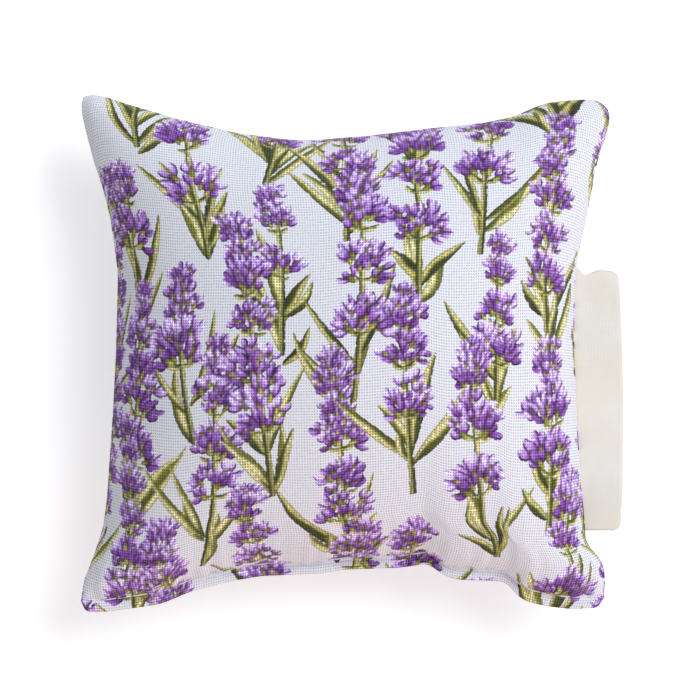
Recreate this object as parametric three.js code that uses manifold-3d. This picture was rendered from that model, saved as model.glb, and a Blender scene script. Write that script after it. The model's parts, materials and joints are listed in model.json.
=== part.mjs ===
// A small lavender sachet: two squares of printed cotton sewn round three sides, turned right side out,
// filled with dried lavender buds and closed along the bottom by a row of topstitching.
// A folded ribbon label is caught in the right-hand seam.
//
// Millimetres. The sachet lies on its back: X runs to the right, Y to the top edge and Z up through the
// front. The origin is the middle of the flat patch that the back panel rests on.

import * as THREE from "three";
import { ParametricGeometry } from "three/addons/geometries/ParametricGeometry.js";
import { mergeGeometries, mergeVertices } from "three/addons/utils/BufferGeometryUtils.js";
import Module from "manifold-3d";

// Driving dimensions of the cushion
const WIDTH = 100; // corner to corner, across the side seams
const HEIGHT = 97.6; // corner to corner, top seam to closing edge
const FRONT_CROWN = 20; // rise of the front panel from its seam
const BACK_DEPTH = 15; // drop of the back panel from its seam to the table
const BACK_PRESS = 6; // how far the table presses the back panel in from its free crown
const SIDE_DRAW = 6.3; // how far the filling draws the side seams in, at the middle of a side
const END_DRAW = 7.2; // the same for the top seam and the closing edge
const EAR_POWER = 3; // how late a drawn-in edge turns out again into the corner ears

// Driving dimensions of the cloth and its seams
const CLOTH = 0.35;
const SEAM_ALLOWANCE = 6.35; // turned in, measured from the folded edge
const SEAM_LIP = 0.4; // fold of cloth outside a turned seam
const FLANGE = 2.2; // flat edge outside the closing stitches
const FOLD_AIR = 0.15; // between the cloth and its own allowance
const CLEARANCE = 0.15; // between pieces that are sewn against each other

// Driving dimensions of the thread
const THREAD = 0.3;
const STITCH = 3; // length of a closing stitch
const LEG_AIR = 0.2; // between the two legs of thread in one needle hole
const ROW_START = 3; // from each corner to the closing row
const SEAM_ROW = 1.6; // from the edge of the cushion in to the seam stitches

// Driving dimensions of the ribbon label
const LABEL_LENGTH = 49.5;
const LABEL_MIDDLE = -9; // where its middle is on the right-hand seam
const LABEL_SHOWN = 9.3; // outside the seam, where the seam is drawn in the most
const LABEL_SEWN = 3.4; // inside the seam, at the same place
const RIBBON = 0.15;
const RIBBON_AIR = 0.1; // between the two leaves of the folded ribbon
const BEND_GAP = 0.3; // on each side of the line that the label bends on

// Driving dimension of the filling
const FILL_AIR = 0.3; // between the packed buds and everything round them

// Facets
const PANEL_CELLS = 12; // along each side of a panel
const THREAD_HALF_SIDES = 3; // a thread's outline has twice as many

// Heights from the middle of the seam, shared by everything that is sewn into it
const SEAM_AIR = 2 * RIBBON + RIBBON_AIR + 2 * CLEARANCE;
const ALLOWANCE_UNDER = SEAM_AIR / 2;
const ALLOWANCE_OVER = ALLOWANCE_UNDER + CLOTH;
const PANEL_UNDER = ALLOWANCE_OVER + FOLD_AIR;
const PANEL_OVER = PANEL_UNDER + CLOTH;
const SEAM_Z = PANEL_OVER + BACK_DEPTH;

// Plan of the cushion inside its lips and its closing flange
const HALF_WIDTH = WIDTH / 2 - SEAM_LIP;
const TOP_Y = HEIGHT / 2 - SEAM_LIP;
const BOTTOM_Y = -HEIGHT / 2 + FLANGE;
const HALF_HEIGHT = (TOP_Y - BOTTOM_Y) / 2;
const MIDDLE_Y = (TOP_Y + BOTTOM_Y) / 2;

// Needle holes of the closing row, just outside the cushion's edge
const HOLE_LENGTH = 2 * THREAD + LEG_AIR + 2 * CLEARANCE;
const HOLE_WIDTH = THREAD + 2 * CLEARANCE;
const CLOSING_ROW = HOLE_WIDTH / 2 + CLEARANCE;

// A margin is how far a line lies outside the cushion's edge at its sides, its top and its bottom.
const CUSHION_EDGE = evenMargin(0);
const FOLDED_EDGE = { side: SEAM_LIP, top: SEAM_LIP, bottom: FLANGE };

function evenMargin(out) {
  return { side: out, top: out, bottom: out };
}

function inside(margin, depth) {
  return { side: margin.side - depth, top: margin.top - depth, bottom: margin.bottom - depth };
}

// Share of the full draw at a place along an edge: all of it in the middle, none at the corners.
function drawShare(along) {
  return 1 - Math.abs(along) ** EAR_POWER;
}

// Place in plan of a point of the cushion; s and t run from -1 to 1, across it and up it.
function plan(s, t, margin) {
  const u = Math.sin((s * Math.PI) / 2);
  const v = Math.sin((t * Math.PI) / 2);
  const end = v > 0 ? margin.top : margin.bottom;
  const x = u * (HALF_WIDTH + margin.side - SIDE_DRAW * drawShare(v));
  const y = MIDDLE_Y + v * (HALF_HEIGHT + end - END_DRAW * drawShare(u));
  return [x, y];
}

// Share of the crown's height at a point of the cushion.
function swell(s, t) {
  return Math.cos((s * Math.PI) / 2) * Math.cos((t * Math.PI) / 2);
}

function frontRise(s, t) {
  return FRONT_CROWN * swell(s, t);
}

function backRise(s, t) {
  return Math.min((BACK_DEPTH + BACK_PRESS) * swell(s, t), BACK_DEPTH);
}

// One face of the cushion inside a margin, with a height for each of its points.
function skin(margin, height, facesUp) {
  const place = (a, b, target) => {
    const s = 2 * (facesUp ? a : b) - 1;
    const t = 2 * (facesUp ? b : a) - 1;
    const [x, y] = plan(s, t, margin);
    target.set(x, y, height(s, t));
  };
  return new ParametricGeometry(place, PANEL_CELLS, PANEL_CELLS);
}

// Point on the edge of the square of s and t, anticlockwise from its lower left corner; w runs from 0 to 4.
function edgePoint(w) {
  const side = Math.floor(w) % 4;
  const along = 2 * (w - Math.floor(w)) - 1;
  const sides = [
    [along, -1],
    [1, along],
    [-along, 1],
    [-1, -along],
  ];
  return sides[side];
}

// The bands between rings that run round the cushion, each ring at a margin and a height.
function bands(rings) {
  const last = rings.length - 1;
  const place = (a, b, target) => {
    const w = Math.round(a * 4 * PANEL_CELLS) / PANEL_CELLS;
    const ring = rings[Math.round(b * last)];
    const [x, y] = plan(...edgePoint(w), ring.margin);
    target.set(x, y, ring.z);
  };
  return new ParametricGeometry(place, 4 * PANEL_CELLS, last);
}

// Surfaces joined along their common edges into one closed skin.
function joined(surfaces) {
  for (const surface of surfaces) {
    surface.deleteAttribute("uv");
    surface.deleteAttribute("normal");
  }
  return mergeVertices(mergeGeometries(surfaces), 1e-4);
}

// Panel of cloth with its allowance turned in flat under its edge, seen from the seam outwards.
function panelGeometry(rise) {
  const innerEdge = inside(CUSHION_EDGE, CLOTH);
  const innerFold = inside(FOLDED_EDGE, CLOTH);
  const cutEdge = inside(FOLDED_EDGE, SEAM_ALLOWANCE);
  const under = skin(innerEdge, (s, t) => PANEL_UNDER + rise(s, t), false);
  const over = skin(CUSHION_EDGE, (s, t) => PANEL_OVER + rise(s, t), true);
  const turnedIn = bands([
    { margin: innerEdge, z: PANEL_UNDER },
    { margin: innerFold, z: PANEL_UNDER },
    { margin: innerFold, z: ALLOWANCE_OVER },
    { margin: cutEdge, z: ALLOWANCE_OVER },
    { margin: cutEdge, z: ALLOWANCE_UNDER },
    { margin: FOLDED_EDGE, z: ALLOWANCE_UNDER },
    { margin: FOLDED_EDGE, z: PANEL_OVER },
    { margin: CUSHION_EDGE, z: PANEL_OVER },
  ]);
  return joined([under, turnedIn, over]);
}

// The packed buds fill both panels and meet through the opening between the turned-in allowances.
function fillGeometry() {
  const edge = evenMargin(-(SEAM_ROW + THREAD / 2 + FILL_AIR));
  const waist = inside(FOLDED_EDGE, SEAM_ALLOWANCE + FILL_AIR);
  const base = ALLOWANCE_OVER + FILL_AIR;
  const spare = PANEL_UNDER - FILL_AIR - base;
  const front = skin(edge, (s, t) => base + frontRise(s, t) + spare * swell(s, t), true);
  const back = skin(edge, (s, t) => base + backRise(s, t) + spare * swell(s, t), true);
  back.rotateY(Math.PI);
  const middle = bands([
    { margin: edge, z: -base },
    { margin: waist, z: -base },
    { margin: waist, z: base },
    { margin: edge, z: base },
  ]);
  return joined([front, middle, back]);
}

// A path of straight runs through points, each run taking an equal share of it.
class RunsThrough extends THREE.Curve {
  constructor(points) {
    super();
    this.points = points;
  }

  getPoint(t, target = new THREE.Vector3()) {
    const at = t * (this.points.length - 1);
    const from = Math.min(Math.max(Math.floor(at), 0), this.points.length - 2);
    return target.lerpVectors(this.points[from], this.points[from + 1], at - from);
  }

  getUtoTmapping(u) {
    return u;
  }
}

function threadGeometry(points) {
  const outline = new THREE.Shape();
  outline.absarc(0, 0, THREAD / 2, 0, 2 * Math.PI);
  return new THREE.ExtrudeGeometry(outline, {
    extrudePath: new RunsThrough(points),
    steps: points.length - 1,
    curveSegments: THREAD_HALF_SIDES,
  });
}

// Needle holes of the closing row: place, and direction of the row there.
function needleHoles() {
  const count = Math.floor((2 * (HALF_WIDTH - ROW_START)) / STITCH) + 1;
  const rowY = (x) => MIDDLE_Y - HALF_HEIGHT - CLOSING_ROW + END_DRAW * drawShare(x / HALF_WIDTH);
  return Array.from({ length: count }, (_, i) => {
    const x = (i - (count - 1) / 2) * STITCH;
    const rise = rowY(x + STITCH / 2) - rowY(x - STITCH / 2);
    return { x, y: rowY(x), turn: Math.atan2(rise, STITCH) };
  });
}

// One thread of the closing row: along the cloth, and down and up again in each needle hole.
function closingThreadGeometry(holes) {
  const high = PANEL_OVER + CLEARANCE + THREAD / 2;
  const low = CLEARANCE / 2 + THREAD / 2;
  const leg = (THREAD + LEG_AIR) / 2;
  const points = [];
  for (const { x, y, turn } of holes) {
    const dx = leg * Math.cos(turn);
    const dy = leg * Math.sin(turn);
    points.push(new THREE.Vector3(x - dx, y - dy, high));
    points.push(new THREE.Vector3(x - dx, y - dy, low));
    points.push(new THREE.Vector3(x + dx, y + dy, low));
    points.push(new THREE.Vector3(x + dx, y + dy, high));
  }
  return threadGeometry(points);
}

// One thread of the turned seam, inside the fold, up the right side, over the top and down the left.
function seamThreadGeometry() {
  const margin = evenMargin(-SEAM_ROW);
  const z = ALLOWANCE_OVER + CLEARANCE + THREAD / 2;
  const points = [];
  for (let step = 1; step < 3 * PANEL_CELLS; step += 1) {
    const [x, y] = plan(...edgePoint(1 + step / PANEL_CELLS), margin);
    points.push(new THREE.Vector3(x, y, z));
  }
  return threadGeometry(points);
}

const wasm = await Module();
wasm.setup();

function solidOf(geometry) {
  return new wasm.Manifold(
    new wasm.Mesh({
      numProp: 3,
      vertProperties: new Float32Array(geometry.attributes.position.array),
      triVerts: new Uint32Array(geometry.index.array),
    }),
  );
}

function geometryOf(solid) {
  const { vertProperties, triVerts } = solid.getMesh();
  const geometry = new THREE.BufferGeometry();
  geometry.setAttribute("position", new THREE.BufferAttribute(vertProperties, 3));
  geometry.setIndex(new THREE.BufferAttribute(triVerts, 1));
  return geometry;
}

// A panel pierced by the needle holes of the closing row.
function piercedPanel(rise, holes) {
  let panel = solidOf(panelGeometry(rise));
  for (const { x, y, turn } of holes) {
    const cutter = new THREE.BoxGeometry(HOLE_LENGTH, HOLE_WIDTH, 4 * PANEL_OVER);
    cutter.rotateZ(turn);
    cutter.translate(x, y, 0);
    panel = panel.subtract(solidOf(joined([cutter])));
  }
  return geometryOf(panel);
}

// Edge of the right-hand seam at a height on the sachet.
function seamX(y) {
  const v = (y - MIDDLE_Y) / HALF_HEIGHT;
  return HALF_WIDTH + SEAM_LIP - SIDE_DRAW * drawShare(v);
}

// The label bends just outside the part of the seam that stands out furthest along its length.
const LABEL_TOP = LABEL_MIDDLE + LABEL_LENGTH / 2;
const LABEL_BOTTOM = LABEL_MIDDLE - LABEL_LENGTH / 2;
const BEND_X = Math.max(seamX(LABEL_TOP), seamX(LABEL_BOTTOM)) + BEND_GAP;
const LABEL_EDGE_X = seamX(MIDDLE_Y) + LABEL_SHOWN;
const LABEL_END_X = seamX(MIDDLE_Y) - LABEL_SEWN;
const LEAF_UNDER = RIBBON_AIR / 2;
const LEAF_OVER = LEAF_UNDER + RIBBON;

// The part of the label that stands out of the seam, folded at its outer edge; X runs from the bend.
function labelFlapGeometry() {
  const start = BEND_GAP;
  const fold = LABEL_EDGE_X - BEND_X - LEAF_OVER;
  const outline = new THREE.Shape();
  outline.moveTo(start, LEAF_OVER);
  outline.lineTo(start, LEAF_UNDER);
  outline.lineTo(fold, LEAF_UNDER);
  outline.absarc(fold, 0, LEAF_UNDER, Math.PI / 2, -Math.PI / 2, true);
  outline.lineTo(start, -LEAF_UNDER);
  outline.lineTo(start, -LEAF_OVER);
  outline.lineTo(fold, -LEAF_OVER);
  outline.absarc(fold, 0, LEAF_OVER, -Math.PI / 2, Math.PI / 2, false);
  outline.closePath();
  const flap = new THREE.ExtrudeGeometry(outline, {
    depth: LABEL_LENGTH,
    bevelEnabled: false,
    curveSegments: 6,
  });
  flap.translate(0, 0, -LABEL_LENGTH / 2);
  flap.rotateX(Math.PI / 2);
  return flap;
}

// One of the two ends of the ribbon that lie in the seam.
function labelTailGeometry() {
  return new THREE.BoxGeometry(BEND_X - BEND_GAP - LABEL_END_X, LABEL_LENGTH, RIBBON);
}

function named(name, geometry, material) {
  const mesh = new THREE.Mesh(geometry, material);
  mesh.name = name;
  return mesh;
}

const printedCotton = new THREE.MeshStandardMaterial({ color: 0xd6cfdf, roughness: 0.9, metalness: 0 });
const driedBuds = new THREE.MeshStandardMaterial({ color: 0x6f6288, roughness: 0.95, metalness: 0 });
const whiteThread = new THREE.MeshStandardMaterial({ color: 0xe9e7ee, roughness: 0.7, metalness: 0 });
const ivorySatin = new THREE.MeshStandardMaterial({ color: 0xefe8dc, roughness: 0.45, metalness: 0 });

const sachet = new THREE.Group();
sachet.name = "lavender_sachet";

// Everything on the front side of the seam
const needleHoleRow = needleHoles();
const front = new THREE.Group();
front.position.z = SEAM_Z;
front.add(named("front_panel", piercedPanel(frontRise, needleHoleRow), printedCotton));
front.add(named("closing_needle_thread", closingThreadGeometry(needleHoleRow), whiteThread));
front.add(named("seam_needle_thread", seamThreadGeometry(), whiteThread));
sachet.add(front);

// The same on the back side, turned over
const back = new THREE.Group();
back.position.z = SEAM_Z;
back.rotation.y = Math.PI;
back.add(named("back_panel", piercedPanel(backRise, needleHoleRow), printedCotton));
back.add(named("closing_bobbin_thread", closingThreadGeometry(needleHoleRow), whiteThread));
back.add(named("seam_bobbin_thread", seamThreadGeometry(), whiteThread));
sachet.add(back);

const fill = named("lavender_fill", fillGeometry(), driedBuds);
fill.position.z = SEAM_Z;
sachet.add(fill);

// The label: two ends between the allowances, and the folded part that moves
const tailMiddleX = (LABEL_END_X + BEND_X - BEND_GAP) / 2;
const tailMiddleZ = (LEAF_UNDER + LEAF_OVER) / 2;
const frontTail = named("label_front_tail", labelTailGeometry(), ivorySatin);
frontTail.position.set(tailMiddleX, LABEL_MIDDLE, SEAM_Z + tailMiddleZ);
sachet.add(frontTail);
const backTail = named("label_back_tail", labelTailGeometry(), ivorySatin);
backTail.position.set(tailMiddleX, LABEL_MIDDLE, SEAM_Z - tailMiddleZ);
sachet.add(backTail);
const flap = named("label_flap", labelFlapGeometry(), ivorySatin);
flap.position.set(BEND_X, LABEL_MIDDLE, SEAM_Z);
sachet.add(flap);

export default sachet;
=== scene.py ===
import json
import math

import bmesh
import bpy
import numpy as np
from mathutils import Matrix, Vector, noise


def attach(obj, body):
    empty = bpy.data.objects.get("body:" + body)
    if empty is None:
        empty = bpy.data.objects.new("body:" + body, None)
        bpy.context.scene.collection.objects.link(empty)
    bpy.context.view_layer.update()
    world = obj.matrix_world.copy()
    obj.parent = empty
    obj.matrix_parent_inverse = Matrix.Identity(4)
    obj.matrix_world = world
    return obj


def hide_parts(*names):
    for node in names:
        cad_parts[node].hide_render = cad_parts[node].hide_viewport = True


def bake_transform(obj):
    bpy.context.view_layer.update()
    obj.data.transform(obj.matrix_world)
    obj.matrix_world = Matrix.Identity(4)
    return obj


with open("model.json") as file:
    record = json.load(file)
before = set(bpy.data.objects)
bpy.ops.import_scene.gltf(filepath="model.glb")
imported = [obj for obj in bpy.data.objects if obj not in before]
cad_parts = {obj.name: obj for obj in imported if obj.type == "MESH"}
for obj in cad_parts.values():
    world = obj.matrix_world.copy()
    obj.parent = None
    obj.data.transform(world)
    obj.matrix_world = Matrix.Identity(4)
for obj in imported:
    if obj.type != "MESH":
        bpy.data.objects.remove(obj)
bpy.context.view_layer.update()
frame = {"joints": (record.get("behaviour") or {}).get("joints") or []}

scene = bpy.context.scene

# The view. The sachet lies on a white table and is seen from straight above, so the camera hangs over it.
# The photograph is 700 pixels across and shows 5.25 pixels to a millimetre at the height of the seam.
seam_z = frame["joints"][0]["pos_m"][2]
photo_pixels = 700
pixels_per_metre = 5250
picture_middle = (0.00105, 0.00071)
camera_height = 0.6
camera_data = bpy.data.cameras.new("camera")
camera_data.sensor_width = 36
camera_data.lens = camera_data.sensor_width * camera_height * pixels_per_metre / photo_pixels
camera = bpy.data.objects.new("camera", camera_data)
camera.location = (*picture_middle, seam_z + camera_height)
scene.collection.objects.link(camera)
scene.camera = camera
scene.view_settings.view_transform = "Standard"

# The light. A large soft window to the right and a little above gives the cool light on the crown, and a
# weak warm card below it fills the lower edge. The white room round them is the world.
for name, place, size, power, colour in (
    ("window", (0.46, 0.33, 0.64), 0.5, 4.8, (0.89, 0.95, 1.0)),
    ("warm_card", (0.15, -0.55, 0.14), 0.4, 1.2, (1.0, 0.61, 0.48)),
):
    lamp_data = bpy.data.lights.new(name, "AREA")
    lamp_data.size = size
    lamp_data.energy = power
    lamp_data.color = colour
    lamp = bpy.data.objects.new(name, lamp_data)
    lamp.location = place
    lamp.rotation_euler = (-lamp.location).to_track_quat("-Z", "Y").to_euler()
    scene.collection.objects.link(lamp)
room = bpy.data.worlds.new("room")
room.use_nodes = True
room.node_tree.nodes["Background"].inputs["Color"].default_value = (0.95, 0.97, 1.0, 1)
room.node_tree.nodes["Background"].inputs["Strength"].default_value = 0.5
scene.world = room

# The table: a plain white sheet. It glows a little to the camera, so that it shows as white paper, and
# still takes the sachet's soft shadow.
table_mesh = bpy.data.meshes.new("table")
table_bm = bmesh.new()
bmesh.ops.create_grid(table_bm, x_segments=1, y_segments=1, size=3)
table_bm.to_mesh(table_mesh)
table_bm.free()
table = bpy.data.objects.new("table", table_mesh)
scene.collection.objects.link(table)
paper = bpy.data.materials.new("white_paper")
paper.use_nodes = True
paper_nodes = paper.node_tree.nodes
paper_shader = paper_nodes["Principled BSDF"]
paper_shader.inputs["Base Color"].default_value = (0.9, 0.9, 0.9, 1)
paper_shader.inputs["Roughness"].default_value = 0.9
paper_shader.inputs["Emission Color"].default_value = (1, 1, 1, 1)
paper_rays = paper_nodes.new("ShaderNodeLightPath")
paper_seen = paper_rays.outputs["Is Camera Ray"]
for ray in ("Is Glossy Ray", "Is Transmission Ray"):
    either = paper_nodes.new("ShaderNodeMath")
    either.operation = "MAXIMUM"
    paper.node_tree.links.new(paper_seen, either.inputs[0])
    paper.node_tree.links.new(paper_rays.outputs[ray], either.inputs[1])
    paper_seen = either.outputs[0]
paper_glow = paper_nodes.new("ShaderNodeMath")
paper_glow.operation = "MULTIPLY"
paper_glow.inputs[1].default_value = 0.4
paper.node_tree.links.new(paper_seen, paper_glow.inputs[0])
paper.node_tree.links.new(paper_glow.outputs[0], paper_shader.inputs["Emission Strength"])
table_mesh.materials.append(paper)

# The cushion's form. Two squares of cotton are sewn together at the edge and stuffed, so the edge draws in
# between the corners and the middle crowns. A cloth simulation, ten times the size, finds the form: the edge
# is held at its drawn-in outline and the back is pressed flat on the table.
flat_width = 102.9  # named lengths are in millimetres from here on
flat_height = 97.6
cloth_cells = 96
cloth_frames = 20
front_crown = 20.0
back_depth = 19.0
ease = 1.045
blow_up = 10
steps_per_cell = 12
smooth_reach = 6

# The outline of each side lists places along it and how far the seam stands from the cushion's middle there
left_side = [(-46.9, -50.2), (-43.5, -49.8), (-38.1, -47.7), (-32.8, -46.0), (-27.5, -45.3), (-11.5, -44.2),
             (0.0, -43.6), (15.2, -43.2), (20.5, -43.9), (25.9, -44.7), (31.2, -46.0), (36.5, -47.8),
             (41.9, -49.2), (46.0, -50.1), (49.3, -50.0)]
right_side = [(-46.3, 49.5), (-43.5, 49.8), (-41.2, 49.6), (-40.0, 49.3), (-38.9, 48.7), (-37.8, 47.8),
              (-36.6, 46.6), (-35.5, 46.0), (-32.0, 45.8), (-25.0, 45.2), (-15.0, 44.5), (-5.0, 44.0),
              (5.0, 43.8), (15.0, 44.0), (20.5, 45.0), (25.9, 46.2), (36.5, 48.2), (41.9, 50.0),
              (44.5, 50.6), (47.7, 50.1)]
top_side = [(-50.0, 49.3), (-47.7, 49.4), (-45.0, 48.9), (-42.4, 47.9), (-31.7, 44.8), (-21.0, 42.2),
            (-10.4, 40.8), (-5.0, 40.8), (5.6, 41.7), (16.3, 43.0), (27.0, 44.1), (32.3, 45.3),
            (37.6, 47.6), (40.3, 48.1), (45.6, 48.5), (48.0, 48.3), (50.1, 47.7)]
closing_side = [(-50.2, -46.9), (-45.0, -47.0), (-37.0, -45.9), (-34.4, -45.4), (-29.0, -43.1),
                (-21.0, -41.1), (-15.7, -40.2), (-5.0, -39.8), (0.3, -39.0), (11.0, -38.6), (15.6, -37.9),
                (16.6, -38.1), (17.8, -39.2), (19.3, -40.2), (21.6, -40.9), (28.0, -41.1), (30.2, -41.3),
                (31.6, -41.8), (33.0, -44.0), (34.6, -44.9), (36.1, -45.4), (39.0, -46.0), (43.0, -46.5),
                (49.5, -46.3)]
# The upper corners, as columns of the corner and of the point beside it, and how far each is pulled
corner_pulls = [(0, 1, (0.35, -0.35)), (-1, -2, (-0.6, -0.5))]


def smooth_outline(outline, count):
    """Even steps along an outline, and how far out it stands at each, with its turns made soft."""
    along, out = np.array(outline).T
    steps = np.linspace(along[0], along[-1], count)
    curve = np.interp(steps, along, out)
    taps = 2 * smooth_reach + 1
    for _ in range(3):
        curve[smooth_reach:-smooth_reach] = np.convolve(curve, np.full(taps, 1 / taps), "valid")
    return steps, curve


def side_points(outline, upright):
    """Points of one side of the cushion's outline, one for each cell of cloth."""
    steps, curve = smooth_outline(outline, steps_per_cell * cloth_cells + 1)
    points = np.stack([curve, steps] if upright else [steps, curve], axis=1)
    return points[::steps_per_cell]


def pillow_mesh(name, cells):
    """Two square grids of cells, one over the other, joined round their edges."""
    bm = bmesh.new()
    bmesh.ops.create_grid(bm, x_segments=cells, y_segments=cells, size=0.5)
    twin = bmesh.ops.duplicate(bm, geom=bm.verts[:] + bm.edges[:] + bm.faces[:])
    front_verts = bm.verts[:(cells + 1) ** 2]
    bmesh.ops.reverse_faces(bm, faces=[g for g in twin["geom"] if isinstance(g, bmesh.types.BMFace)])
    sewn = {twin["vert_map"][v]: v for v in front_verts if v.is_boundary}
    bmesh.ops.weld_verts(bm, targetmap=sewn)
    mesh = bpy.data.meshes.new(name)
    bm.to_mesh(mesh)
    bm.free()
    return mesh


low, high = side_points(closing_side, False), side_points(top_side, False)
left, right = side_points(left_side, True), side_points(right_side, True)
across = np.linspace(0, 1, cloth_cells + 1)[None, :, None]
up = np.linspace(0, 1, cloth_cells + 1)[:, None, None]
plan = (1 - up) * low[None] + up * high[None] + (1 - across) * left[:, None] + across * right[:, None]
low_corners = (1 - across) * low[0] + across * low[-1]
high_corners = (1 - across) * high[0] + across * high[-1]
plan -= (1 - up) * low_corners + up * high_corners
for corner, beside, pull in corner_pulls:
    plan[-1, corner] += pull
    plan[-1, beside] += np.array(pull) / 4
    plan[-2, corner] += np.array(pull) / 4
swell = np.sqrt(16 * across * (1 - across) * up * (1 - up))
table_depth = 1000 * seam_z
front_form = np.concatenate([plan, front_crown * swell], axis=2)
back_form = np.concatenate([plan, -np.minimum(back_depth * swell, table_depth)], axis=2)

bag_mesh = pillow_mesh("bag", cloth_cells)
bag = bpy.data.objects.new("bag", bag_mesh)
scene.collection.objects.link(bag)

# The stuffed form to start from, and the flat cut that the cloth's lengths come from
to_metres = blow_up / 1000
flat_cut = np.zeros((len(bag_mesh.vertices), 3))
bag_mesh.vertices.foreach_get("co", flat_cut.ravel())
flat_cut *= (flat_width * ease * to_metres, flat_height * ease * to_metres, 1)
start = np.concatenate([front_form.reshape(-1, 3), back_form[1:-1, 1:-1].reshape(-1, 3)]) * to_metres
bag.shape_key_add(name="stuffed").data.foreach_set("co", start.ravel())
bag.shape_key_add(name="cut").data.foreach_set("co", flat_cut.ravel())
bag_mesh.vertices.foreach_set("co", start.ravel())
edge = bag.vertex_groups.new(name="edge")
rows, columns = np.divmod(np.arange((cloth_cells + 1) ** 2), cloth_cells + 1)
rim = (rows % cloth_cells == 0) | (columns % cloth_cells == 0)
edge.add(np.flatnonzero(rim).tolist(), 1, "REPLACE")

# The table, as a board that the cloth can't pass
board_gap = 0.35
board_bm = bmesh.new()
bmesh.ops.create_grid(board_bm, x_segments=1, y_segments=1, size=2)
board_mesh = bpy.data.meshes.new("board")
board_bm.to_mesh(board_mesh)
board_bm.free()
board = bpy.data.objects.new("board", board_mesh)
board.location.z = -(table_depth + board_gap) * to_metres
scene.collection.objects.link(board)
board.modifiers.new("collision", "COLLISION")
board.collision.thickness_outer = board_gap / 2 * to_metres

cloth = bag.modifiers.new("cloth", "CLOTH")
cloth.settings.quality = 8
cloth.settings.mass = 0.3
cloth.settings.tension_stiffness = 40
cloth.settings.compression_stiffness = 20
cloth.settings.shear_stiffness = 5
cloth.settings.bending_stiffness = 4
cloth.settings.air_damping = 4
cloth.settings.use_pressure = True
cloth.settings.uniform_pressure_force = 8
cloth.settings.vertex_group_mass = "edge"
cloth.settings.rest_shape_key = bag_mesh.shape_keys.key_blocks["cut"]
cloth.settings.effector_weights.gravity = 0
cloth.collision_settings.use_collision = True
cloth.collision_settings.distance_min = board_gap / 2 * to_metres
cloth.point_cache.frame_end = cloth_frames
for step in range(1, cloth_frames + 1):
    scene.frame_set(step)
stuffed = bag.evaluated_get(bpy.context.evaluated_depsgraph_get()).to_mesh()
places = np.zeros((len(stuffed.vertices), 3))
stuffed.vertices.foreach_get("co", places.ravel())
places /= to_metres
front_form = places[:(cloth_cells + 1) ** 2].reshape(cloth_cells + 1, cloth_cells + 1, 3)
back_form = front_form.copy()
back_form[1:-1, 1:-1] = places[(cloth_cells + 1) ** 2:].reshape(cloth_cells - 1, cloth_cells - 1, 3)
bpy.data.objects.remove(bag)
bpy.data.objects.remove(board)
scene.frame_set(1)

# The lavender print on the cotton: upright sprigs in a half-drop layout, with leaves at the foot of each
# stem and rings of lilac florets that crowd towards the tip. It is drawn in strokes on a canvas as large as
# the cut panel, and their colours, written as they look in daylight, are carried to the cloth as attributes.
canvas_step = 0.1
canvas_half = np.array([58.5, 57.5])
canvas_shape = tuple(int(2 * half / canvas_step) + 1 for half in canvas_half[::-1])
petal_dark = np.array([38, 4, 54])
petal_deep = np.array([124, 72, 158])
petal_light = np.array([204, 166, 238])
petal_pale = np.array([230, 216, 255])
leaf_dark = np.array([38, 46, 4])
leaf_deep = np.array([112, 112, 40])
leaf_light = np.array([184, 174, 98])
leaf_pale = np.array([222, 213, 162])
ink = np.zeros((*canvas_shape, 3))
cover = np.zeros(canvas_shape)
stem_width = 1.1
stem_foot = 3.0
bare_stems = (8, 14)
leaf_counts = (5, 9)
leaf_lengths = (8, 20)
leaf_widths = (1.3, 2.3)
ring_counts = (3, 7)
ring_sizes = (7.8, 10)
missing_florets = 0.14
draw = np.random.default_rng(23)

# The tiers of a ring from the back to the front: how far out they stand, florets, rise and tone
ring_tiers = ((0.3, 6, 0.16, 0.75), (0.28, 5, 0.0, 0.35), (0.16, 4, -0.1, -0.1))


def mixed(first, second, share):
    """A colour on the way from the first to the second."""
    return first + (second - first) * np.clip(share, 0, 1)[..., None]


def heading(turn):
    """The way that a stroke points when it is turned clockwise from upright."""
    return np.array([math.sin(turn), math.cos(turn)])


def brush(place, turn, length, width, bow, outline, colour):
    """Lays one stroke of ink from a place, turned from upright; bow is how far it bends to its right."""
    along = heading(turn)
    aside = np.array([along[1], -along[0]])
    middle = place + along * length / 2 + aside * bow / 2
    reach = length / 2 + width / 2 + abs(bow)
    first = np.maximum((middle - reach + canvas_half) // canvas_step, 0).astype(int)
    last = np.minimum((middle + reach + canvas_half) // canvas_step + 2, canvas_shape[::-1]).astype(int)
    if (last <= first).any():
        return
    x = np.arange(first[0], last[0]) * canvas_step - canvas_half[0] - place[0]
    y = (np.arange(first[1], last[1]) * canvas_step - canvas_half[1] - place[1])[:, None]
    way = (x * along[0] + y * along[1]) / length
    share = np.clip(way, 0, 1)
    offset = x * aside[0] + y * aside[1] - 4 * bow * share * (1 - share)
    half = width / 2 * outline(share)
    depth = np.where((way > 0) & (way < 1), half - np.abs(offset), -1)
    amount = np.clip(depth / canvas_step + 0.5, 0, 1)
    side = np.clip(offset / np.maximum(half, 0.01), -1, 1)
    patch = np.s_[first[1]:last[1], first[0]:last[0]]
    total = amount + cover[patch] * (1 - amount)
    old = ink[patch] * (cover[patch] * (1 - amount))[..., None]
    ink[patch] = (old + colour(share, side) * amount[..., None]) / np.maximum(total, 1e-6)[..., None]
    cover[patch] = total


def leaf_outline(share):
    return np.sin(np.pi * share ** 0.8) ** 0.75


def petal_outline(share):
    return 1.15 * share ** 0.5 * (1 - share ** 5) ** 0.7


def stem_outline(share):
    return 1 - 0.25 * share


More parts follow.
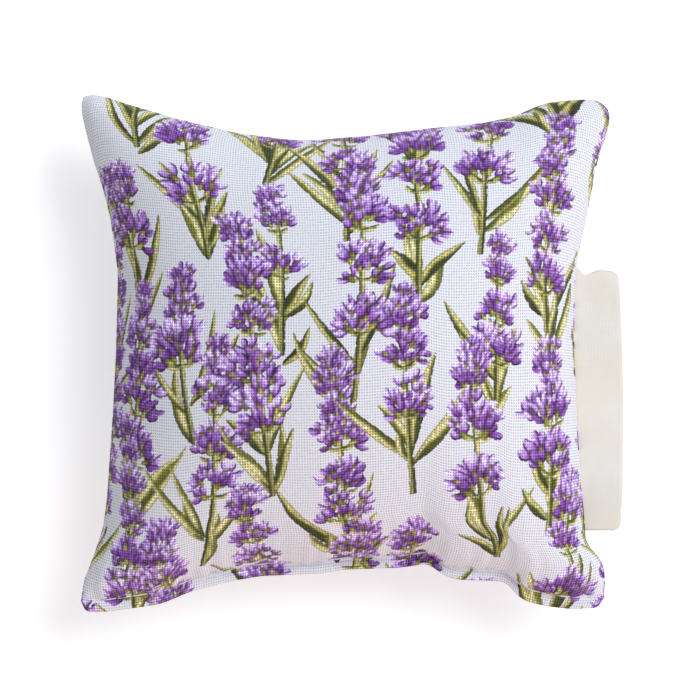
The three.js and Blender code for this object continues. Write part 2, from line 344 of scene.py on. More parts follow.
def leaf_colour(sunny, tone):
    """A leaf has a dark half and a light half along its middle vein."""
    def colour(share, side):
        dark = mixed(leaf_dark, leaf_deep, tone + 0.6 * share - 0.2)
        light = mixed(leaf_light, leaf_pale, tone + 0.5 * share - 0.1)
        body = mixed(dark, light, 0.5 + 1.8 * (sunny * side + 0.25 * np.sin(9 * share + 6 * tone)))
        return mixed(body, leaf_dark, 0.35 * (np.abs(side) > 0.8) + 0.35 * np.clip(1 - 4 * share, 0, 1))
    return colour


def petal_colour(tone, shine):
    """A petal is violet at its base and along one flank, and lilac to nearly white towards its tip."""
    def colour(share, side):
        body = mixed(petal_deep, petal_light, tone + 0.8 * share - 0.25)
        pale = np.clip(1.1 * share + 0.8 * tone - 0.65 - 0.8 * np.abs(side - shine), 0, 1)
        body = mixed(body, petal_pale, pale)
        flank = np.clip(-2.4 * side * np.sign(shine) - 0.8, 0, 0.95)
        base = np.clip(1.15 - share / 0.42, 0, 0.9)
        return mixed(body, petal_dark, np.maximum(base, flank) * np.clip(1.15 - 0.5 * tone, 0.4, 1))
    return colour


def cup_colour(tone):
    """The cup below a floret runs from olive green into violet."""
    def colour(share, side):
        body = mixed(mixed(leaf_deep, leaf_light, tone + 0.5 * side), petal_dark, 1.6 * share - 0.8)
        return mixed(body, leaf_dark, 0.6 * (np.abs(side) > 0.7))
    return colour


def floret(root, turn, size, tone):
    """One small flower: a cup and a few petals that open from it."""
    mouth = root + 0.35 * size * heading(turn)
    for spread in draw.permutation(np.linspace(-0.75, 0.75, draw.integers(3, 5))):
        length = size * draw.uniform(0.7, 1.15)
        width = size * draw.uniform(0.36, 0.56)
        shine = draw.choice((-1, 1)) * draw.uniform(0.2, 0.6)
        petal_turn = turn + spread + draw.uniform(-0.2, 0.2)
        brush(mouth, petal_turn, length, width, 0.15 * length * np.sign(spread), petal_outline,
              petal_colour(tone + draw.uniform(-0.3, 0.3), shine))
    brush(root, turn, 0.8 * size, 0.32 * size, 0, leaf_outline, cup_colour(draw.uniform(0, 1)))


def floret_ring(place, lean, size, spread):
    """One ring of florets round a spike: the pale ones behind and above, the dark ones below in front."""
    for hand in (-1, 1):
        brush(place - 0.1 * size * heading(lean), lean + hand * draw.uniform(0.9, 1.5),
              size * draw.uniform(0.2, 0.42), size * draw.uniform(0.07, 0.12), hand * 0.05 * size,
              leaf_outline, leaf_colour(hand, draw.uniform(0, 1)))
    for radius, count, rise, tone in ring_tiers:
        for angle in draw.permutation(np.linspace(-spread, spread, count)):
            if draw.random() < missing_florets:
                continue
            turn = lean + angle + draw.uniform(-0.15, 0.15)
            reach = size * radius * draw.uniform(0.7, 1.2)
            root = place + reach * heading(turn) * (1, 0.8) + (0, size * (rise + draw.uniform(-0.1, 0.1)))
            floret(root, lean + 0.6 * angle + draw.uniform(-0.35, 0.35), size * draw.uniform(0.22, 0.36),
                   tone + draw.uniform(-0.55, 0.45))


def sprig(foot, lean, bare, rings, size):
    """A sprig: a stem with leaves at its foot and rings of florets that crowd towards the tip."""
    gaps = np.linspace(0.95, 0.45, rings - 1) * size * draw.uniform(0.75, 1.3, rings - 1)
    heights = bare + np.concatenate([[0], np.cumsum(gaps)])
    bow = draw.uniform(-1.4, 1.4)
    for k in range(draw.integers(*leaf_counts)):
        hand = 1 if k % 2 else -1
        leaf_root = foot + heading(lean) * draw.uniform(-0.4, 0.55) * bare
        brush(leaf_root, lean + hand * draw.uniform(0.14, 0.8), draw.uniform(*leaf_lengths),
              draw.uniform(*leaf_widths), hand * draw.uniform(-1.0, 1.5), leaf_outline,
              leaf_colour(draw.choice((-1, 1)), draw.uniform(0, 1)))
    brush(foot - stem_foot * heading(lean), lean, heights[-1] + stem_foot, stem_width, bow, stem_outline,
          leaf_colour(draw.choice((-1, 1)), 0.35))
    for k in range(rings - 1, -1, -1):
        share = k / (rings - 1)
        way = (heights[k] + stem_foot) / (heights[-1] + stem_foot)
        on_stem = foot + heading(lean) * heights[k]
        middle = on_stem + heading(lean + math.pi / 2) * 4 * bow * way * (1 - way)
        ring_size = size * (1 - 0.3 * share ** 2) * draw.uniform(0.8, 1.15)
        ring_lean = lean + draw.uniform(-0.2, 0.2)
        floret_ring(middle, ring_lean, ring_size, draw.uniform(1.1, 1.6) - 0.6 * share)


sprig_columns = 9
sprig_rows = 5
column_width = 13.6
row_height = 33.0
for row in range(sprig_rows - 1, -1, -1):
    for column in range(sprig_columns):
        drop = 0.5 * (column % 2) - 0.3
        foot = np.array([(column - (sprig_columns - 1) / 2) * column_width + draw.uniform(-1.8, 1.8),
                         (row - (sprig_rows - 1) / 2 + drop) * row_height + draw.uniform(-5, 5)])
        lean = draw.uniform(-0.16, 0.16)
        bare = draw.uniform(*bare_stems)
        rings = draw.integers(*ring_counts)
        sprig(foot, lean, bare, rings, draw.uniform(*ring_sizes))

# The ink spreads a little in the threads
spread_ink = np.dstack([ink * cover[..., None], cover])
for axis in (0, 1):
    spread_ink = (np.roll(spread_ink, 1, axis) + spread_ink + np.roll(spread_ink, -1, axis)) / 3

# The front panel: a square of plain-weave cotton. Three edges are turned in at the seam, and the lower edge
# is folded to a hem that stands out as a flat flange below the closing stitches.
# A profile lists, past the edge of the form, the reach outward, the height and the length of cloth used.
seam_roll = 0.32
crease_height = 0.5
hem_profile = [(0.35, 0.6, 0.35), (1.1, 0.72, 1.1), (1.8, 0.68, 1.8), (2.18, 0.42, 2.3), (2.1, 0.16, 2.6),
               (1.2, 0.1, 3.5), (-3.4, 0.1, 8.0)]
seam_profile = [(-0.08, 0.14, 0.3), (-0.5, 0.06, 0.8), (-6.0, 0.06, 6.4)]
corner_trim = 14.0
least_trim = 0.03
corner_round = 1.4
label_middle = -8.9
label_length = 49.5
label_slit = 0.3
slit_margin = 0.8
slit_fade = 0.3
stitch_length = 3.0
stitch_tug = 0.22
tug_width = 0.45
pucker_lengths = (3.3, 4.9, 7.7, 13.0)
warp_pitch = 0.48
weft_pitch = 0.53
thread_drift = 0.11
ink_gain = 1.5
screen_gamma = 2.2
cloth_dull = (0.82, 0.835, 0.93, 1)
cloth_bright = (0.88, 0.895, 0.99, 1)
# Pale thread tops: partly bare fibre that the ink missed, partly painted highlight
fibre_and_highlight_tops = (0.88, 0.85, 0.88, 1)
# Painted shade for the gaps between the threads: brown-grey on bare cloth, near black under the ink
bare_gap_shade = (0.3, 0.21, 0.14, 1)
inked_gap_shade = (0.03, 0.02, 0.03, 1)


def turn_edge(places, cut, profile, face, lift=0.0):
    """Adds rows of cloth past the first row of a panel, as its profile says."""
    away = places[0, :, :2] - places[1, :, :2]
    away /= np.linalg.norm(away, axis=1)[:, None]
    for _ in range(3):
        away[1:-1] = (away[:-2] + away[1:-1] + away[2:]) / 3
    flat_away = cut[0] - cut[1]
    flat_away /= np.linalg.norm(flat_away, axis=1)[:, None]
    way = np.concatenate([[0], np.cumsum(np.linalg.norm(np.diff(places[0, :, :2], axis=0), axis=1))])
    to_corner = np.minimum(way, way[-1] - way)[:, None]
    trimmed = np.clip(to_corner / corner_trim, least_trim, 1)
    rounded = np.sqrt(1 - np.clip(1 - to_corner / corner_round, 0, 1) ** 2)
    new_places, new_cut = [], []
    for reach, height, used in reversed(profile):
        level = np.broadcast_to(face * (height + lift), len(away))
        outward = reach * (trimmed if reach < 0 else rounded) * away
        new_places.append(np.column_stack([places[0, :, :2] + outward, level]))
        new_cut.append(cut[0] + used * flat_away)
    return np.concatenate([new_places, places]), np.concatenate([new_cut, cut])


def flat_lengths(places, width):
    """Where each point of a row lies on the flat cut, by its share of the row's length."""
    way = np.cumsum(np.linalg.norm(np.diff(places, axis=1, prepend=places[:, :1]), axis=2), axis=1)
    return width * (way / way[:, -1:] - 0.5)


def sewn_panel(name, form, face):
    """A panel's mesh: the form with its hem and turned-in edges, made smooth, with its flat cut kept."""
    cut_across = flat_lengths(form, flat_width)
    cut_up = flat_lengths(form.swapaxes(0, 1), flat_height).T
    cut = np.stack([cut_across, cut_up], axis=2)
    places = form.copy()
    past_label = np.abs(places[:, -1, 1] - label_middle) - label_length / 2 - slit_margin
    in_label = 1 / (1 + np.exp(past_label / slit_fade))
    places[:, 0, 2] = face * seam_roll
    places[:, -1, 2] = face * (seam_roll + label_slit * in_label)
    places[-1, :, 2] = face * seam_roll
    places[0, :, 2] = face * crease_height
    slit = label_slit * np.concatenate([np.zeros(len(hem_profile)), in_label])
    places, cut = turn_edge(places, cut, hem_profile, face)
    places, cut = places.swapaxes(0, 1), cut.swapaxes(0, 1)
    places, cut = turn_edge(places, cut, seam_profile, face)
    places, cut = (a[::-1] for a in turn_edge(places[::-1], cut[::-1], seam_profile, face, slit))
    places, cut = places.swapaxes(0, 1), cut.swapaxes(0, 1)
    places, cut = (a[::-1] for a in turn_edge(places[::-1], cut[::-1], seam_profile, face))

    rows, columns = places.shape[:2]
    panel_bm = bmesh.new()
    bmesh.ops.create_grid(panel_bm, x_segments=columns - 1, y_segments=rows - 1, size=0.5)
    coarse = bpy.data.meshes.new(name + "_coarse")
    panel_bm.to_mesh(coarse)
    panel_bm.free()
    coarse.vertices.foreach_set("co", ((places + (0, 0, table_depth)) / 1000).ravel())
    flat_places = np.concatenate([cut, np.zeros((*cut.shape[:2], 1))], axis=2)
    coarse.attributes.new("cut", "FLOAT_VECTOR", "POINT").data.foreach_set("vector", flat_places.ravel())
    if face < 0:
        coarse.flip_normals()
    coarse_panel = bpy.data.objects.new(name + "_coarse", coarse)
    scene.collection.objects.link(coarse_panel)
    finer = coarse_panel.modifiers.new("finer", "SUBSURF")
    finer.levels = finer.render_levels = 2
    smooth_panel = coarse_panel.evaluated_get(bpy.context.evaluated_depsgraph_get())
    mesh = bpy.data.meshes.new_from_object(smooth_panel)
    mesh.name = name
    bpy.data.objects.remove(coarse_panel)
    mesh.polygons.foreach_set("use_smooth", np.ones(len(mesh.polygons), bool))
    return mesh


def panel_cut(mesh):
    """Where each point of a panel lies on the flat cut."""
    flat_places = np.zeros((len(mesh.vertices), 3))
    mesh.attributes["cut"].data.foreach_get("vector", flat_places.ravel())
    return flat_places[:, :2]


def print_on(mesh, hand, shift):
    """Carries the canvas's ink to a panel's points and the flat cut to the UV map; hand -1 mirrors it."""
    cut = panel_cut(mesh)
    spot = (cut * (hand, 1) + shift + canvas_half) / canvas_step
    spot = np.clip(spot, 0, np.array(canvas_shape[::-1]) - 2)
    column, row = spot.astype(int).T
    right_share, up_share = (spot % 1).T
    inked = np.zeros((len(cut), 4))
    for step_up, up_weight in ((0, 1 - up_share), (1, up_share)):
        for step_right, right_weight in ((0, 1 - right_share), (1, right_share)):
            weight = up_weight * right_weight
            inked += weight[:, None] * spread_ink[row + step_up, column + step_right]
    amounts = inked[:, 3].copy()
    daylight = inked[:, :3] / np.maximum(amounts, 1e-6)[:, None] / 255
    colours = ink_gain * np.clip(daylight, 0, 1) ** screen_gamma
    rgba = np.column_stack([colours, np.ones(len(cut))])
    mesh.attributes.new("ink", "FLOAT_COLOR", "POINT").data.foreach_set("color", rgba.ravel())
    mesh.attributes.new("cover", "FLOAT", "POINT").data.foreach_set("value", amounts)
    corners = np.zeros(len(mesh.loops), int)
    mesh.loops.foreach_get("vertex_index", corners)
    mesh.uv_layers.new(name="cut_map").data.foreach_set("uv", (cut[corners] / 1000).ravel())
    mesh.attributes.remove(mesh.attributes["cut"])


def math_node(tree, operation, *values):
    """A Math node whose inputs are sockets or numbers; returns its output."""
    node = tree.nodes.new("ShaderNodeMath")
    node.operation = operation
    for socket, value in zip(node.inputs, values):
        if isinstance(value, bpy.types.NodeSocket):
            tree.links.new(value, socket)
        else:
            socket.default_value = value
    return node.outputs[0]


def mix_node(tree, share, first, second):
    """A colour mix whose inputs are sockets or values; returns its output."""
    node = tree.nodes.new("ShaderNodeMix")
    node.data_type = "RGBA"
    for socket, value in ((node.inputs[0], share), (node.inputs[6], first), (node.inputs[7], second)):
        if isinstance(value, bpy.types.NodeSocket):
            tree.links.new(value, socket)
        else:
            socket.default_value = value
    return node.outputs[2]


def ramp_node(tree, value, low, high):
    """Runs smoothly from 0 at the low value to 1 at the high one; returns its output."""
    node = tree.nodes.new("ShaderNodeMapRange")
    node.interpolation_type = "SMOOTHSTEP"
    tree.links.new(value, node.inputs[0])
    node.inputs[1].default_value = low
    node.inputs[2].default_value = high
    return node.outputs[0]


def noise_node(tree, vector, scale, detail=2.0):
    """Soft noise at so many grains to a metre; returns its output."""
    node = tree.nodes.new("ShaderNodeTexNoise")
    tree.links.new(vector, node.inputs["Vector"])
    node.inputs["Scale"].default_value = scale
    node.inputs["Detail"].default_value = detail
    return node.outputs["Fac"]


def printed_cotton():
    """Plain weave: warp and weft pass over each other in turn, with small gaps where four threads meet."""
    material = bpy.data.materials.new("printed_cotton")
    material.use_nodes = True
    tree = material.node_tree
    shader = tree.nodes["Principled BSDF"]
    cut_map = tree.nodes.new("ShaderNodeUVMap")
    cut_map.uv_map = "cut_map"
    flat = cut_map.outputs["UV"]

    # The threads' height, and the gaps between them
    parts = tree.nodes.new("ShaderNodeSeparateXYZ")
    tree.links.new(flat, parts.inputs[0])
    stray = thread_drift / 1000
    drift = math_node(tree, "MULTIPLY_ADD", noise_node(tree, flat, 260), 2 * stray, -stray)
    waves = []
    crossing = tree.nodes.new("ShaderNodeCombineXYZ")
    for axis, pitch in ((0, warp_pitch), (1, weft_pitch)):
        place = math_node(tree, "ADD", parts.outputs[axis], drift)
        waves.append(math_node(tree, "SINE", math_node(tree, "MULTIPLY", place, 1000 * math.pi / pitch)))
        tree.links.new(math_node(tree, "SNAP", place, pitch / 1000), crossing.inputs[axis])
    crossing_noise = tree.nodes.new("ShaderNodeTexWhiteNoise")
    crossing_noise.noise_dimensions = "2D"
    tree.links.new(crossing.outputs[0], crossing_noise.inputs["Vector"])
    uptake = crossing_noise.outputs["Value"]
    warp, weft = (math_node(tree, "ABSOLUTE", wave) for wave in waves)
    over = math_node(tree, "MULTIPLY", *waves)
    warp_top = math_node(tree, "MULTIPLY", warp, math_node(tree, "MULTIPLY_ADD", over, 0.38, 0.62))
    weft_top = math_node(tree, "MULTIPLY", weft, math_node(tree, "MULTIPLY_ADD", over, -0.38, 0.62))
    height = math_node(tree, "MAXIMUM", warp_top, weft_top)
    beside_warp = math_node(tree, "SUBTRACT", 1.0, math_node(tree, "POWER", warp, 2.0))
    beside_weft = math_node(tree, "SUBTRACT", 1.0, math_node(tree, "POWER", weft, 2.0))
    gap = math_node(tree, "MULTIPLY", beside_warp, beside_weft)
    slub = noise_node(tree, flat, 700)
    fleck = noise_node(tree, flat, 1700)

    # The ink, of which each crossing takes up more or less
    ink_node = tree.nodes.new("ShaderNodeAttribute")
    ink_node.attribute_name = "ink"
    cover_node = tree.nodes.new("ShaderNodeAttribute")
    cover_node.attribute_name = "cover"
    rough_edge = math_node(tree, "MULTIPLY_ADD", uptake, 1.2, 0.4)
    taken = ramp_node(tree, math_node(tree, "MULTIPLY", cover_node.outputs["Fac"], rough_edge), 0.08, 0.5)
    thread_ink = tree.nodes.new("ShaderNodeVectorMath")
    thread_ink.operation = "SCALE"
    tree.links.new(ink_node.outputs["Color"], thread_ink.inputs[0])
    tree.links.new(math_node(tree, "MULTIPLY_ADD", uptake, 0.7, 0.65), thread_ink.inputs["Scale"])

    # The bare threads, the dyed threads and the gaps, which are painted in shade
    ground = mix_node(tree, slub, cloth_dull, cloth_bright)
    # The highest parts of the threads are paled in flecks: partly bare fibre, partly painted highlight
    thread_top = ramp_node(tree, height, 0.5, 1.0)
    fibre_and_highlight_share = math_node(tree, "MULTIPLY", thread_top, math_node(tree, "MULTIPLY", fleck, 0.15))
    dyed = mix_node(tree, fibre_and_highlight_share, thread_ink.outputs[0], fibre_and_highlight_tops)
    colour = mix_node(tree, taken, ground, dyed)
    # The gaps where four threads meet are painted darker as shade, more deeply where the ink is taken up
    sunk_ink_shade = mix_node(tree, 0.75, ink_node.outputs["Color"], inked_gap_shade)
    dark = mix_node(tree, taken, bare_gap_shade, sunk_ink_shade)
    uneven = math_node(tree, "MULTIPLY_ADD", fleck, 1.6, 0.2)
    gap_depth = math_node(tree, "MULTIPLY", uneven, math_node(tree, "MULTIPLY_ADD", taken, 0.8, 0.74))
    shade = math_node(tree, "MINIMUM", math_node(tree, "MULTIPLY", gap, gap_depth), 1.0)
    colour = mix_node(tree, shade, colour, dark)
    tree.links.new(colour, shader.inputs["Base Color"])
    shader.inputs["Roughness"].default_value = 0.88
    shader.inputs["Specular IOR Level"].default_value = 0.12
    shader.inputs["Sheen Weight"].default_value = 0.05
    shader.inputs["Sheen Roughness"].default_value = 0.5
    bump = tree.nodes.new("ShaderNodeBump")
    bump.inputs["Strength"].default_value = 0.3
    bump.inputs["Distance"].default_value = 0.00012
    tree.links.new(math_node(tree, "MULTIPLY_ADD", slub, 0.25, height), bump.inputs["Height"])
    tree.links.new(bump.outputs[0], shader.inputs["Normal"])
    return material


def pucker(mesh):
    """Draws the cloth in at the stitches and lets it pucker a little beside the seams."""
    cut = panel_cut(mesh)
    places = np.zeros((len(mesh.vertices), 3))
    mesh.vertices.foreach_get("co", places.ravel())
    normals = np.zeros((len(mesh.vertices), 3))
    mesh.vertex_normals.foreach_get("vector", normals.ravel())
    ripples = np.random.default_rng(5)
    depth = np.zeros(len(cut))
    closing = cut[:, 1] + flat_height / 2
    for inside, way, reach, height in (
        (cut[:, 0] + flat_width / 2, cut[:, 1], 3.0, 0.05),
        (flat_width / 2 - cut[:, 0], cut[:, 1], 3.0, 0.05),
        (flat_height / 2 - cut[:, 1], cut[:, 0], 3.0, 0.05),
        (closing, cut[:, 0], 5.5, 0.2),
    ):
        wave = sum(np.sin(2 * np.pi * way / length + ripples.uniform(0, 6.3)) for length in pucker_lengths)
        depth += height * wave * np.exp(-np.maximum(inside, 0) / reach) * np.clip(inside, 0, 1)
    tug = 0.75 + 0.25 * np.cos(2 * np.pi * cut[:, 0] / stitch_length)
    depth -= stitch_tug * tug * np.exp(-(closing / tug_width) ** 2)
    places += normals * depth[:, None] / 1000
    places[:, 2] = np.maximum(places[:, 2], 0)
    mesh.vertices.foreach_set("co", places.ravel())
    mesh.update()


def closing_crease(mesh):
    """The panel's points along the crease where it is closed, in order across it."""
    cut = panel_cut(mesh)
    places = np.zeros((len(mesh.vertices), 3))
    mesh.vertices.foreach_get("co", places.ravel())
    on_crease = np.abs(cut[:, 1] + flat_height / 2) < 1e-4
    order = np.argsort(cut[on_crease, 0])
    return 1000 * places[on_crease][order]


def add_panel(name, form, face, shift, node):
    """Makes one panel and hangs it on the cushion; returns its closing crease."""
    mesh = sewn_panel(name, form, face)
    pucker(mesh)
    crease = closing_crease(mesh)
    print_on(mesh, face, shift)
    mesh.materials.append(printed)
    panel = bpy.data.objects.new(name, mesh)
    scene.collection.objects.link(panel)
    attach(panel, "cushion")
    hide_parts(node)
    return crease


printed = printed_cotton()
front_crease = add_panel("front_cover", front_form, 1, (0, 0), "front_panel")

# The back panel: cut from the same cotton and made in the same way, and pressed flat where it lies on the
# table. Its print is turned over with it and starts at another place on the cloth.
back_crease = add_panel("back_cover", back_form, -1, (7, 4), "back_panel")

# The closing threads. The lower edge is closed by machine with a lockstitch: the needle thread lies on the
# front in stitches and goes down between them, and the bobbin thread lies on the back. White cotton thread.
thread_radius = 0.14
thread_seat = 0.7
stitch_dip = 0.5
dip_share = 0.42
points_per_stitch = 14
row_start = 1.2
thread_groove_shade = (0.72, 0.72, 0.76, 1)
thread_ridge_highlight = (0.9, 0.9, 0.93, 1)
thread_plain = (0.86, 0.86, 0.9, 1)


def sewing_thread():
    """Two-ply white cotton thread, twisted, with a soft sheen, painted shade in the twist's grooves and
    painted highlight on its ridges.
    """
    material = bpy.data.materials.new("white_thread")
    material.use_nodes = True
    tree = material.node_tree
    shader = tree.nodes["Principled BSDF"]
    place = tree.nodes.new("ShaderNodeTexCoord").outputs["Object"]
    twist = tree.nodes.new("ShaderNodeTexWave")
    twist.bands_direction = "DIAGONAL"
    twist.inputs["Scale"].default_value = 900
    twist.inputs["Distortion"].default_value = 1.5
    tree.links.new(place, twist.inputs["Vector"])
    # The twist's grooves are painted darker as shade and its ridges lighter as highlight
    colour = mix_node(tree, twist.outputs["Fac"], thread_groove_shade, thread_ridge_highlight)
    colour = mix_node(tree, noise_node(tree, place, 300), colour, thread_plain)
    tree.links.new(colour, shader.inputs["Base Color"])
    shader.inputs["Roughness"].default_value = 0.6
    shader.inputs["Sheen Weight"].default_value = 0.2
    bump = tree.nodes.new("ShaderNodeBump")
    bump.inputs["Distance"].default_value = 0.00005
    tree.links.new(twist.outputs["Fac"], bump.inputs["Height"])
    tree.links.new(bump.outputs[0], shader.inputs["Normal"])
    return material


def sewn_thread(name, line, face, material, node):
    """A thread along a line on the cloth, in millimetres: it lies on the face and dips between stitches."""
    steps = np.concatenate([[0], np.cumsum(np.linalg.norm(np.diff(line, axis=0), axis=1))])
    ways = np.arange(row_start, steps[-1] - row_start, stitch_length / points_per_stitch)
    points = np.stack([np.interp(ways, steps, line[:, axis]) for axis in range(3)], axis=1)
    rise = np.abs(np.sin(np.pi * (ways - row_start) / stitch_length))
    dip = stitch_dip * np.clip(1 - rise / dip_share, 0, 1) ** 2
    points[:, 2] += face * (thread_seat * thread_radius - dip)
    curve = bpy.data.curves.new(name, "CURVE")
    curve.dimensions = "3D"
    curve.bevel_depth = thread_radius / 1000
    curve.bevel_resolution = 2
    curve.use_fill_caps = True
    spline = curve.splines.new("POLY")
    spline.points.add(len(points) - 1)
    spline.points.foreach_set("co", np.column_stack([points / 1000, np.ones(len(points))]).ravel())
    rope = bpy.data.objects.new(name + "_curve", curve)
    scene.collection.objects.link(rope)
    mesh = bpy.data.meshes.new_from_object(rope.evaluated_get(bpy.context.evaluated_depsgraph_get()))
    mesh.name = name
    bpy.data.objects.remove(rope)
    mesh.polygons.foreach_set("use_smooth", np.ones(len(mesh.polygons), bool))
    mesh.materials.clear()
    mesh.materials.append(material)
    thread = bpy.data.objects.new(name, mesh)
    scene.collection.objects.link(thread)
    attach(thread, "cushion")
    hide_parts(node)


white_thread = sewing_thread()
sewn_thread("closing_stitches_front", front_crease, 1, white_thread, "closing_needle_thread")
sewn_thread("closing_stitches_back", back_crease, -1, white_thread, "closing_bobbin_thread")

# The seam threads: the same lockstitch joins the other three edges from the inside before the cover is
# turned, so it runs between the turned-in edges, a little inside the outline.
seam_row = 1.6
seam_thread_rest = 0.3
start_cells = 2
corner_cells = 3
inset = seam_row / (flat_width / cloth_cells)
near, share = int(inset), inset % 1


def inset_line(grid):
    """The line that runs along the first row of a grid, a seam's inset from it."""
    return grid[near] * (1 - share) + grid[near + 1] * share


# The row starts a little above the hem and cuts across the two upper corners
seam_left = inset_line(plan.swapaxes(0, 1))[start_cells:-corner_cells]
seam_top = inset_line(plan[::-1])[corner_cells:-corner_cells]
seam_right = inset_line(plan[:, ::-1].swapaxes(0, 1))[start_cells:-corner_cells][::-1]
seam_line = np.concatenate([seam_left, seam_top, seam_right])
beside_label = np.abs(seam_line[:, 1] - label_middle) < label_length / 2 + 1
beside_label &= seam_line[:, 0] > 0
seam_height = seam_thread_rest + label_slit * beside_label
for name, face, node in (
    ("seam_stitches_front", 1, "seam_needle_thread"),
    ("seam_stitches_back", -1, "seam_bobbin_thread"),
):
    line = np.column_stack([seam_line, table_depth + face * seam_height])
    sewn_thread(name, line, face, white_thread, node)

# The lavender fill: dried lavender buds, poured in loose until the cover is tight. It takes the cover's form
# from inside, clear of the turned-in edges, and its face is uneven with buds.
fill_inset = 6
fill_clearance = 0.9
bud_size = 2.4
bud_relief = 0.5
bud_violet = (0.12, 0.09, 0.19, 1)
bud_grey = (0.26, 0.22, 0.3, 1)
bud_green = (0.24, 0.24, 0.13, 1)
inner = np.s_[fill_inset:-fill_inset, fill_inset:-fill_inset]
fill_mesh = pillow_mesh("lavender_buds", cloth_cells - 2 * fill_inset)
fill_front, fill_back = front_form[inner].copy(), back_form[inner].copy()
fill_front[..., 2] -= fill_clearance
fill_back[..., 2] += fill_clearance
for side in (np.s_[0], np.s_[-1], np.s_[:, 0], np.s_[:, -1]):
    fill_front[side][..., 2] = 0
fill_places = np.concatenate([fill_front.reshape(-1, 3), fill_back[1:-1, 1:-1].reshape(-1, 3)])
fill_places = (fill_places + (0, 0, table_depth)) / 1000
fill_mesh.vertices.foreach_set("co", fill_places.ravel())
fill_mesh.update()
fill_normals = np.zeros((len(fill_mesh.vertices), 3))
fill_mesh.vertex_normals.foreach_get("vector", fill_normals.ravel())
bud_depth = np.array([noise.voronoi(Vector(p) * 1000 / bud_size)[0][0] for p in fill_places])
fill_places -= fill_normals * (bud_relief / 1000 * bud_depth)[:, None]
fill_mesh.vertices.foreach_set("co", fill_places.ravel())
fill_mesh.polygons.foreach_set("use_smooth", np.ones(len(fill_mesh.polygons), bool))
fill_mesh.update()

dried_buds = bpy.data.materials.new("dried_lavender")
dried_buds.use_nodes = True
bud_tree = dried_buds.node_tree
bud_shader = bud_tree.nodes["Principled BSDF"]
bud_place = bud_tree.nodes.new("ShaderNodeTexCoord").outputs["Object"]
bud_cells = bud_tree.nodes.new("ShaderNodeTexVoronoi")
bud_cells.inputs["Scale"].default_value = 1000 / bud_size
bud_tree.links.new(bud_place, bud_cells.inputs["Vector"])
bud_tint = bud_tree.nodes.new("ShaderNodeSeparateColor")
bud_tree.links.new(bud_cells.outputs["Color"], bud_tint.inputs[0])
bud_colour = mix_node(bud_tree, bud_tint.outputs[0], bud_violet, bud_grey)
greenish = ramp_node(bud_tree, bud_tint.outputs[1], 0.7, 0.9)
bud_colour = mix_node(bud_tree, greenish, bud_colour, bud_green)
bud_tree.links.new(bud_colour, bud_shader.inputs["Base Color"])
bud_shader.inputs["Roughness"].default_value = 0.9
bud_bump = bud_tree.nodes.new("ShaderNodeBump")
bud_bump.invert = True
bud_bump.inputs["Distance"].default_value = 0.0008
bud_tree.links.new(bud_cells.outputs["Distance"], bud_bump.inputs["Height"])
bud_tree.links.new(bud_bump.outputs[0], bud_shader.inputs["Normal"])
fill_mesh.materials.append(dried_buds)
lavender_buds = bpy.data.objects.new("lavender_buds", fill_mesh)
scene.collection.objects.link(lavender_buds)
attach(lavender_buds, "cushion")
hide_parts("lavender_fill")

# The label: a piece of ivory satin ribbon, folded in half along its length and caught in the right-hand
# seam by its two long edges. Its face is bare. It is limp, so it waves and droops a little past the seam.
ribbon_thickness = 0.13
leaf_half_gap = 0.13
leaf_opening = 0.8
opening_length = 19
flap_width = 6.5
flap_droop = 0.25
flap_waves = ((0.4, 34, 0.6), (0.16, 13.5, 1.9))  # the height, length and start of each
tail_end = 40.7
bend_x = 1000 * frame["joints"][0]["pos_m"][0]
fold_edge = [(-33.65, 52.5), (-25.0, 52.95), (-8.0, 53.1), (6.0, 52.7), (15.85, 52.2)]
top_edge = [(40.0, 1.4), (43.6, 1.7), (45.7, -1.0), (48.2, 0.2), (51.0, -0.1), (53.3, -0.4)]
worn_corner = 1.3
along_cells = 100
leaf_steps = 26
fold_steps = 9
top_steps = 260
rib_pitch = 0.28
satin_pearl = (0.83, 0.815, 0.775, 1)
satin_cream = (0.84, 0.775, 0.65, 1)
satin_cloud = (0.68, 0.63, 0.55, 1)
satin_groove_shade = (0.45, 0.4, 0.32, 1)

# The folded ribbon, from one sewn edge out to the fold and back to the other
fold_turn = np.linspace(0, np.pi, fold_steps)[1:-1]
out_and_back = [np.linspace(0, 1, leaf_steps), np.ones(len(fold_turn)), np.linspace(1, 0, leaf_steps)]
leaf_share = np.concatenate(out_and_back)
leaf_bulge = np.concatenate([np.zeros(leaf_steps), np.sin(fold_turn), np.zeros(leaf_steps)])
leaf_side = np.concatenate([np.ones(leaf_steps), np.cos(fold_turn), -np.ones(leaf_steps)])
label_y = (label_middle + np.linspace(-0.5, 0.5, along_cells + 1) * label_length)[:, None]
fold_x = np.interp(label_y, *np.array(fold_edge).T)
from_end = np.clip(np.minimum(label_y - label_y[0], label_y[-1] - label_y), 0, worn_corner)
fold_x -= worn_corner - np.sqrt(worn_corner ** 2 - (worn_corner - from_end) ** 2)
label_x = tail_end + (fold_x - leaf_half_gap - tail_end) * leaf_share + leaf_half_gap * leaf_bulge
near_top = np.clip((label_y - label_middle) / (label_length / 2), 0, 1) ** 10
label_flat_y = np.broadcast_to(label_y, label_x.shape)
label_rise = np.interp(label_x, *smooth_outline(top_edge, top_steps))
free = np.clip((label_x - bend_x) / flap_width, 0, 1)
wave = sum(height * np.sin(2 * np.pi * label_y / length + start) for height, length, start in flap_waves)
opening = leaf_opening * free * np.sin(2 * np.pi * label_y / opening_length) ** 2 * (leaf_bulge == 0)
label_z = leaf_half_gap * (1 + opening) * leaf_side + free * wave - flap_droop * free ** 2
label_places = np.stack([label_x, label_flat_y + near_top * label_rise, label_z + table_depth], axis=2)
label_bm = bmesh.new()
bmesh.ops.create_grid(label_bm, x_segments=label_x.shape[1] - 1, y_segments=along_cells, size=0.5)
